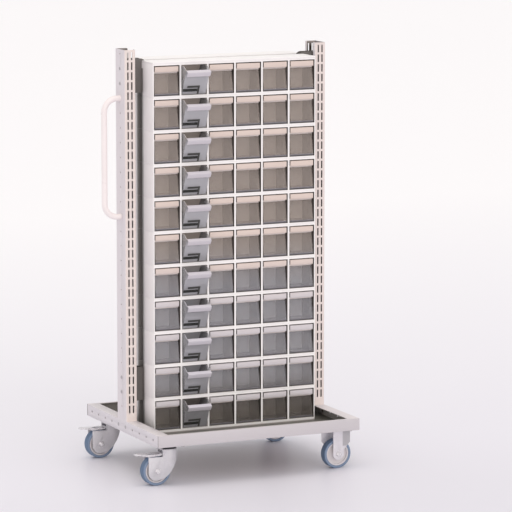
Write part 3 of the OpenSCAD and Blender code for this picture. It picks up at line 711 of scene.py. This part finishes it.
def bin_lip():
    """The opaque grip lip in front of the neck, with a rounded upper edge."""
    top, low = 98.5 * MM, 80.5 * MM
    front, neck, drop = 0.5 * MM, 12 * MM, 1 * MM
    round_far, round_near = 1.2 * MM, 0.35 * MM
    under = top - BIN_WALL
    outline = [
        (front, low + 0.8 * MM), (front + 0.5 * MM, low), (front + BIN_WALL, low),
        (front + BIN_WALL, under), (neck, under),
        (neck, under - drop), (neck + BIN_WALL, under - drop),
        (neck + BIN_WALL, top), (front + round_far, top),
        (front + round_near, top - round_near), (front, top - round_far)]
    mesh = prism("lip", outline, BIN_WIDTH / 2 - 1 * MM)
    mesh = rounded(mesh, 0.3 * MM, 1)
    mesh.transform(Matrix.Translation((0, -PIVOT_Y, -PIVOT_Z)))
    return mesh


def joined(name, *meshes):
    """Several meshes in one, with their materials kept."""
    work = bmesh.new()
    finishes = []
    for mesh in meshes:
        places = []
        for finish in mesh.materials:
            if finish not in finishes:
                finishes.append(finish)
            places.append(finishes.index(finish))
        before = len(work.faces)
        work.from_mesh(mesh)
        work.faces.ensure_lookup_table()
        for face in work.faces[before:]:
            if places:
                face.material_index = places[min(face.material_index, len(places) - 1)]
    made = bpy.data.meshes.new(name)
    work.to_mesh(made)
    work.free()
    for finish in finishes:
        made.materials.append(finish)
    return made


def bin_row_tree():
    tree, of = geometry_tree("row of bins", {
        "Shell": "Object", "Lip": "Object", "First": "Vector", "Step": "Vector",
        "Count": "Int", "Left out": "Int", "Turn": "Vector",
        "Shell finish": "Material", "Side finish": "Material", "Rear finish": "Material",
        "Rim finish": "Material", "Lip finish": "Material"})
    line = tree.node("GeometryNodeMeshLine", {"mode": "OFFSET"}, {
        "Count": of["Count"], "Start Location": of["First"], "Offset": of["Step"]})
    here = tree.node("GeometryNodeInputIndex")
    wanted = tree.node(
        "FunctionNodeCompare", {"data_type": "INT", "operation": "NOT_EQUAL"},
        {"A": here, "B": of["Left out"]})
    turn = tree.node("FunctionNodeEulerToRotation", {}, {0: of["Turn"]})
    parts = []
    for shape, finish in (("Shell", "Shell finish"), ("Lip", "Lip finish")):
        form = tree.node(
            "GeometryNodeObjectInfo", {}, {"Object": of[shape]}, out="Geometry")
        placed = tree.node("GeometryNodeInstanceOnPoints", {}, {
            "Points": line, "Selection": wanted, "Instance": form, "Rotation": turn})
        solid = tree.node("GeometryNodeRealizeInstances", {}, {"Geometry": placed})
        solid = tree.node("GeometryNodeSetMaterial", {}, {
            "Geometry": solid, "Material": of[finish]})
        for mark in BIN_MARKS if shape == "Shell" else ():
            marked = tree.node(
                "GeometryNodeInputNamedAttribute", {"data_type": "BOOLEAN"}, {"Name": mark})
            solid = tree.node("GeometryNodeSetMaterial", {}, {
                "Geometry": solid, "Selection": marked,
                "Material": of[mark.capitalize() + " finish"]})
        parts.append(solid)
    whole = tree.node("GeometryNodeJoinGeometry", {}, {"Geometry": parts})
    tree.node("NodeGroupOutput", {}, {"Geometry": whole})
    return tree


def cell_x(column):
    return BASE_X - BANK_WIDTH / 2 + (column - 0.5) * CELL_PITCH


def row_z(row):
    return ROWS_Z + (ROWS - row) * ROW_PITCH


def make_bins():
    """Every row: the open bin of the front bank, its closed bins and those of the rear bank."""
    shell, lip = show("bin_shell_form", bin_shell()), show("bin_lip_form", bin_lip())
    tree = bin_row_tree()
    shared = dict(shell=shell, lip=lip, rear_finish=CLEAR_REAR_LIT, rim_finish=CLEAR_RIM_HIGHLIGHT)
    shut = dict(shell_finish=CLEAR, side_finish=CLEAR_SIDE_SHADE, lip_finish=LIP, **shared)
    ajar = dict(
        shell_finish=CLEAR_OPEN_LIT, side_finish=CLEAR_OPEN_SIDE_LIT, lip_finish=LIP_OPEN_LIT, **shared)
    front, none = -BANK_FRONT + PIVOT_Y, -1
    # name, column of the first bin, count, index left out, depth, turn, finishes
    kinds = [
        ("open_bin", OPEN_COLUMN, 1, none, front, (TILT, 0, 0), ajar),
        ("front_bins", 1, COLUMNS, OPEN_COLUMN - 1, front, (0, 0, 0), shut),
        ("rear_bins", 1, COLUMNS, none, -front, (0, 0, math.pi), shut)]
    for row in range(1, ROWS + 1):
        up = row_z(row) + SHELF + PIVOT_Z
        for kind, column, count, left_out, deep, turn, finishes in kinds:
            name = f"{kind}_row_{row}"
            mesh = grown(
                name, tree, first=(cell_x(column), deep, up), step=(CELL_PITCH, 0, 0),
                count=count, left_out=left_out, turn=turn, **finishes)
            fit(name + "_finished", soften(mesh), nodes[name]["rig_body"], name)
    put_away(shell, lip)


make_bins()


# The banks: white housings with painted shade inside their cells, less of it in the open cell.

def make_bank(node, side):
    bank = eased(node, 0.5 * MM, HOUSING, CELL_SHADED, CELL_OPEN_LIT)
    edge, slack, wall_slack, back_slack = 1.2 * MM, 0.3 * MM, 3 * MM, 0.5 * MM
    for face in bank.data.polygons:
        c = face.center
        from_front = BANK_FRONT - side * c.y
        if from_front < edge or c.z <= ROWS_Z:
            continue
        column, across = divmod(c.x - BASE_X + BANK_WIDTH / 2, CELL_PITCH)
        up = (c.z - ROWS_Z) % ROW_PITCH - SHELF
        if (abs(across - CELL_PITCH / 2) < CELL_WIDTH / 2 + wall_slack
                and -slack < up < CELL_HEIGHT + slack
                and from_front < CELL_DEPTH + back_slack):
            # Painted shade inside the cells, lighter in the open cell
            is_open = side < 0 and int(column) + 1 == OPEN_COLUMN
            face.material_index = 2 if is_open else 1


make_bank("front_bank", -1)
make_bank("rear_bank", 1)


# Base, posts, brackets.

eased("base_frame", 0.6 * MM, PAINT)
painted(nodes["floor_pan"].data, PAN)


def make_post(node, side):
    """A post, with a sheet that closes its open side beside the banks, put in for the shade inside it.
    """
    low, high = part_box(node)
    edge = low.x if side > 0 else high.x
    sunk, thick = 0.2 * MM, 1 * MM
    outer, inner = edge + side * sunk, edge + side * (sunk + thick)
    foot, head = low.z + 2 * MM, bank_high.z - 8 * MM
    shade_liner = prism(
        "shade_liner", [(outer, foot), (inner, foot), (inner, head), (outer, head)],
        POST_DEPTH / 2 - SHEET - sunk, "Y")
    shell = rounded(nodes[node].data.copy(), 0.3 * MM, 1)
    both = joined(node, painted(shell, PAINT_POST), painted(shade_liner, PAINT_POST))
    fit(node + "_finished", both, nodes[node]["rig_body"], node)


make_post("left_post", -1)
make_post("right_post", 1)
eased("post_feet", 0.5 * MM, PAINT_BRACKET, segments=1)
eased("bank_brackets", 0.4 * MM, PAINT_BRACKET, segments=1)


# The push handle: a tube swept along its bent path.

def sweep_tree():
    tree, of = geometry_tree("bent tube", {
        "Geometry": "Geometry", "Bend": "Float", "Bend steps": "Int", "Tube": "Float",
        "Sides": "Int", "Finish": "Material"})
    path = tree.node("GeometryNodeMeshToCurve", {}, {"Mesh": of["Geometry"]})
    bent = tree.node("GeometryNodeFilletCurve", {"mode": "POLY"}, {
        "Curve": path, "Count": of["Bend steps"], "Radius": of["Bend"]})
    ring = tree.node("GeometryNodeCurvePrimitiveCircle", {"mode": "RADIUS"}, {
        "Resolution": of["Sides"], "Radius": of["Tube"]})
    tube = tree.node("GeometryNodeCurveToMesh", {}, {
        "Curve": bent, "Profile Curve": ring, "Fill Caps": True})
    done = tree.node("GeometryNodeSetMaterial", {}, {
        "Geometry": tree.node("GeometryNodeRealizeInstances", {}, {"Geometry": tube}),
        "Material": of["Finish"]})
    tree.node("NodeGroupOutput", {}, {"Geometry": done})
    return tree


def make_handle():
    low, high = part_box("push_handle")
    tube = (high.y - low.y) / 2
    grip, bottom, top = low.x + tube, low.z + tube, high.z - tube
    path = bpy.data.meshes.new("handle_path")
    path.from_pydata(
        [(high.x, 0, bottom), (grip, 0, bottom), (grip, 0, top), (high.x, 0, top)],
        [(0, 1), (1, 2), (2, 3)], [])
    mesh = grown("push_handle_tube", sweep_tree(), path, bend=45 * MM, bend_steps=14,
                 tube=tube, sides=28, finish=PAINT_HANDLE)
    fit("push_handle_finished", soften(outward(mesh), 50), nodes["push_handle"]["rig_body"],
        "push_handle")


make_handle()


# Bolts, screws and nuts, each drawn about the plane that it seats on, its head towards +Z.

BANK_HEAD, WEB_HEAD, RAIL_HEAD = 2.4 * MM, 2.5 * MM, 1 * MM    # heights of the heads


def solid_boxes(node):
    """The box of every separate solid of a CAD node."""
    work = bmesh.new()
    work.from_mesh(nodes[node].data)
    bmesh.ops.remove_doubles(work, verts=work.verts, dist=WELD)
    seen, boxes = set(), []
    for start in work.verts:
        if start in seen:
            continue
        group, waiting = [], [start]
        seen.add(start)
        while waiting:
            vertex = waiting.pop()
            group.append(vertex.co)
            for edge in vertex.link_edges:
                other = edge.other_vert(vertex)
                if other not in seen:
                    seen.add(other)
                    waiting.append(other)
        boxes.append((Vector(min(c[i] for c in group) for i in range(3)),
                      Vector(max(c[i] for c in group) for i in range(3))))
    work.free()
    return boxes


def screw(head, head_height, shank, length, socket, sides=20):
    """A dome-headed screw with a round socket, as a closed form round Z."""
    rim, flat = 0.22, 0.42      # the head's upright rim and flat middle, as shares of it
    tip, mouth = 0.5 * MM, 0.2 * MM
    floor = head_height - min(0.55 * head_height, 2.2 * MM)
    profile = [(0, -length), (shank * 0.86, -length), (shank, -length + tip), (shank, 0),
               (head, 0), (head, rim * head_height)]
    for turn in (28, 52, 72):
        turn = math.radians(turn)
        profile.append((head * (flat + (1 - flat) * math.cos(turn)),
                        head_height * (rim + (1 - rim) * math.sin(turn))))
    profile += [(socket * 1.25, head_height), (socket, head_height - mouth),
                (socket, floor), (0, floor)]
    return soften(turned("screw", profile, sides, "Z", False), 35)


def nut(radius, height, bore):
    """A hexagon nut with chamfered corners."""
    count = 12      # points round it: six corners and the middles of six flats
    flat = radius * math.cos(math.pi / 6)
    face, chamfer = flat * 0.97, 0.12 * height
    points, faces = [], []
    rings = [(bore, 0), (face, 0), (radius, chamfer), (radius, height - chamfer),
             (face, height), (bore, height)]
    for reach, up in rings:
        for i in range(count):
            turn = math.tau / count * i
            limit = flat / math.cos((turn % (math.pi / 3)) - math.pi / 6)
            far = min(reach, limit) if reach > bore else bore
            points.append((far * math.cos(turn), far * math.sin(turn), up))
    for level in range(len(rings)):
        here, above = level * count, (level + 1) % len(rings) * count
        for i in range(count):
            j = (i + 1) % count
            faces.append((here + i, here + j, above + j, above + i))
    return soften(outward(mesh_of("nut", points, faces)), 25)


def copies_tree():
    tree, of = geometry_tree("copies on points", {
        "Geometry": "Geometry", "Form": "Object", "Finish": "Material"})
    form = tree.node("GeometryNodeObjectInfo", {}, {"Object": of["Form"]}, out="Geometry")
    turn = tree.node(
        "GeometryNodeInputNamedAttribute", {"data_type": "FLOAT_VECTOR"}, {"Name": "turn"})
    placed = tree.node("GeometryNodeInstanceOnPoints", {}, {
        "Points": of["Geometry"], "Instance": form,
        "Rotation": tree.node("FunctionNodeEulerToRotation", {}, {0: turn})})
    done = tree.node("GeometryNodeSetMaterial", {}, {
        "Geometry": tree.node("GeometryNodeRealizeInstances", {}, {"Geometry": placed}),
        "Material": of["Finish"]})
    tree.node("NodeGroupOutput", {}, {"Geometry": done})
    return tree


def fastener_seat(low, high):
    """What a solid of the fasteners is, by its box: its kind, seat and its head's way."""
    size, middle = high - low, (low + high) / 2
    out = 1 if middle.x > BASE_X else -1
    if size.z < 7 * MM and size.x > 12 * MM:    # flat and wide: a nut under a caster's plate
        return "nut", (middle.x, middle.y, low.z), (0, 0, 1)
    if size.z > 15 * MM:                        # upright: a bolt through the floor pan
        return "caster", (middle.x, middle.y, PAN_TOP), (0, 0, 1)
    if size.y < 9 * MM:                         # small: a screw into a bank's back
        near = 1 if middle.y > 0 else -1
        inside = low.y if near > 0 else high.y
        return "bank", (middle.x, inside + near * BANK_HEAD, middle.z), (0, -near, 0)
    if size.x > 16 * MM:                        # long: a screw into the handle
        return "handle", (high.x - WEB_HEAD, middle.y, middle.z), (1, 0, 0)
    kind, head = ("rail", RAIL_HEAD) if middle.z < RAIL_TOP else ("web", WEB_HEAD)
    outside = high.x if out > 0 else low.x
    return kind, (outside - out * head, middle.y, middle.z), (out, 0, 0)


def make_fasteners():
    tree, kinds = copies_tree(), {}
    for low, high in solid_boxes("fasteners"):
        kind, seat, way = fastener_seat(low, high)
        kinds.setdefault(kind, []).append((seat, way))
    # radius and height of the head, radius and length of the shank, radius of the socket
    forms = {
        "nut": nut(7.5 * MM, 6 * MM, 4.05 * MM),
        "caster": screw(7 * MM, 4.5 * MM, 4 * MM, 13.5 * MM, 2.6 * MM),
        "bank": screw(3.5 * MM, BANK_HEAD, 2 * MM, 5.6 * MM, 1.2 * MM, 12),
        "handle": screw(6 * MM, WEB_HEAD, 2.5 * MM, 17 * MM, 1.8 * MM),
        "rail": screw(6.1 * MM, RAIL_HEAD, 3.7 * MM, 8.3 * MM, 2.2 * MM),
        "web": screw(6 * MM, WEB_HEAD, 2.5 * MM, 7.3 * MM, 1.8 * MM)}
    parts = []
    for kind, places in kinds.items():
        points = bpy.data.meshes.new(kind)
        points.from_pydata([seat for seat, way in places], [], [])
        turns = points.attributes.new("turn", "FLOAT_VECTOR", "POINT")
        for i, (seat, way) in enumerate(places):
            turns.data[i].vector = Vector(way).to_track_quat("Z", "Y").to_euler()
        form = show(kind + "_form", forms[kind])
        parts.append(grown(kind, tree, points, form=form, finish=BOLT))
        put_away(form)
    fit("fasteners_finished", joined("fasteners", *parts), nodes["fasteners"]["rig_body"],
        "fasteners")


make_fasteners()


# Casters: plates with painted shade on the race, forks, pedals, axles and wheels.

def make_plates():
    """The swivel casters' top plates; the race between plate and crown takes a painted shade."""
    plates = eased("swivel_plates", 0.5 * MM, ZINC, RACE_SHADE)
    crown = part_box("front_swivel_fork")[1].z
    plate, slack = 3 * MM, 0.2 * MM
    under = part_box("swivel_plates")[1].z - plate
    for face in plates.data.polygons:
        if crown - slack < face.center.z < under - slack:
            face.material_index = 1


def mirrored(profile):
    """A profile of (radius, along) points followed by its mirror image, back to its start."""
    return profile + [(radius, -along) for radius, along in reversed(profile)]


AXLE = 4 * MM       # radius


def axle_form(half, head):
    """An axle along Y with a washer, a hexagon nut and a domed end on both sides."""
    radius = AXLE
    washer, high, past, disc = 1.5 * MM, 6 * MM, 2.5 * MM, head * 1.2
    seat = half + washer
    side = [(0, seat + high + past), (radius * 0.7, seat + high + past * 0.8),
            (radius, seat + high + past * 0.3), (radius, seat), (head * 1.18, seat),
            (disc, seat - 0.3 * MM), (disc, half), (radius, half)]
    parts = [soften(turned("axle", mirrored(side), 32, "Y", False), 35)]
    for way in (-1, 1):
        hexagon = nut(head, high, radius + 0.05 * MM)
        hexagon.transform(Matrix.Rotation(math.radians(-90 * way), 4, "X"))
        hexagon.transform(Matrix.Translation((0, way * seat, 0)))
        parts.append(hexagon)
    return joined("axle", *parts)


def make_axles(node):
    """A node's axles, told from a brake pedal's pin by the width of their heads."""
    cad_head, chamfer = 5 * MM, 0.4 * MM
    forms = []
    for low, high in solid_boxes(node):
        middle, size = (low + high) / 2, high - low
        radius, half = size.x / 2, size.y / 2
        if radius > 1.5 * AXLE:
            form = axle_form(half - cad_head, radius)
        else:
            form = soften(turned("pin", [
                (0, -half), (radius * 0.8, -half), (radius, -half + chamfer),
                (radius, half - chamfer), (radius * 0.8, half), (0, half)],
                20, "Y", False), 35)
        form.transform(Matrix.Translation(middle))
        forms.append(form)
    mesh = painted(joined(node, *forms), STEEL)
    fit(node + "_finished", mesh, nodes[node]["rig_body"], node)


def make_wheel(side):
    """A caster's wheel: a nylon hub with a dished web, and its tyre."""
    hub_node, tyre_node = side + "_wheel_hub", side + "_tyre"
    low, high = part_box(tyre_node)
    middle, radius, half = (low + high) / 2, (high.z - low.z) / 2, (high.y - low.y) / 2
    low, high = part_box(hub_node)
    rim, boss_half = (high.z - low.z) / 2, (high.y - low.y) / 2
    boss, boss_chamfer, bore = 13 * MM, 0.8 * MM, AXLE + 0.05 * MM
    rim_half, dish, rim_wall, corner = half - 2 * MM, 8 * MM, 5 * MM, 1 * MM
    web, wall = rim - rim_wall, rim_half - dish
    right = [(bore, boss_half), (boss - boss_chamfer, boss_half),
             (boss, boss_half - boss_chamfer), (boss, wall), (web - corner, wall),
             (web, wall + corner), (web, rim_half), (rim, rim_half)]
    hub = rounded(turned("hub", mirrored(right), 64), 0.5 * MM, 2, 40)
    inner, edge, bead = rim + 0.1 * MM, 3.5 * MM, 1.2 * MM
    right = [(inner, half - bead), (inner + 1 * MM, half), (radius - edge, half)]
    for turn in (22, 45, 68, 90):
        turn = math.radians(turn)
        right.append((radius - edge + edge * math.sin(turn),
                      half - edge + edge * math.cos(turn)))
    tyre = painted(soften(turned("tyre", mirrored(right), 72), 40), TYRE, TYRE_SIDE)
    for face in tyre.polygons:
        face.material_index = 1 if abs(face.normal.y) > 0.6 else 0
    for node, mesh in ((hub_node, painted(hub, HUB)), (tyre_node, tyre)):
        mesh.transform(Matrix.Translation(middle))
        fit(node + "_finished", mesh, nodes[node]["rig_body"], node)


make_plates()
eased("fixed_forks", 0.7 * MM, ZINC_FIXED_LIT)
make_axles("fixed_axles")
for end in ("front", "rear"):
    eased(f"{end}_swivel_fork", 0.7 * MM, ZINC)
    make_axles(f"{end}_swivel_axle")
    eased(f"{end}_brake_pedal", 0.5 * MM, PRESSED)
    for side in ("left", "right"):
        make_wheel(f"{end}_{side}")


# Studio.

def make_floor():
    """A white floor with painted shade, darker and faintly violet towards the camera."""
    f = Finish("studio_floor")
    far = f.spread(f.at(Y), -3.0, 6.0)
    tint = f.node("ShaderNodeValToRGB", {"stops": [
        (0.0, (0.745, 0.73, 0.795, 1.0)), (0.35, (0.84, 0.825, 0.88, 1.0)),
        (1.0, (0.995, 0.99, 1.0, 1.0))]}, {0: far}, out="Color")
    f.done(Base_Color=tint, Roughness=0.36, Specular_IOR_Level=0.12)
    size = 60
    floor = show("studio_floor", mesh_of(
        "studio_floor",
        [(-size, -size, 0), (size, -size, 0), (size, size, 0), (-size, size, 0)],
        [(0, 1, 2, 3)]))
    floor.data.materials.append(f.material)


def make_lights():
    """Two soft, slightly warm suns and a pale sky."""
    suns = [("overhead", 0.55, 40, (0.1, 0.1, -1.0)), ("front_fill", 0.75, 60, (0.2, 1.0, -0.3))]
    for name, power, width, aim in suns:
        sun = bpy.data.lights.new(name, "SUN")
        sun.energy, sun.angle, sun.color = power, math.radians(width), (1.0, 0.93, 0.88)
        lamp = bpy.data.objects.new(name, sun)
        lamp.rotation_euler = Vector(aim).to_track_quat("-Z", "Y").to_euler()
        bpy.context.scene.collection.objects.link(lamp)
    world = bpy.data.worlds.new("studio")
    bpy.context.scene.world = world
    world.use_nodes = True
    tree = Tree(world.node_tree)
    tree.tree.nodes.clear()
    air = tree.node("ShaderNodeBackground", {}, {
        "Color": (1.0, 0.985, 0.99, 1.0), "Strength": 0.8})
    tree.node("ShaderNodeOutputWorld", {}, {"Surface": air})


def make_camera():
    """The photograph's own camera, as fitted to it by least squares."""
    lens = bpy.data.cameras.new("photograph")
    lens.lens, lens.sensor_width = 243.07, 36
    lens.clip_start, lens.clip_end = 0.1, 300
    eye = bpy.data.objects.new("photograph", lens)
    eye.location = (-4.75682, -10.67022, 2.46546)
    eye.rotation_euler = (math.radians(81.5), 0, math.radians(-24.75))
    bpy.context.scene.collection.objects.link(eye)
    bpy.context.scene.camera = eye


make_floor()
make_lights()
make_camera()
bpy.context.scene.view_settings.view_transform = "Standard"
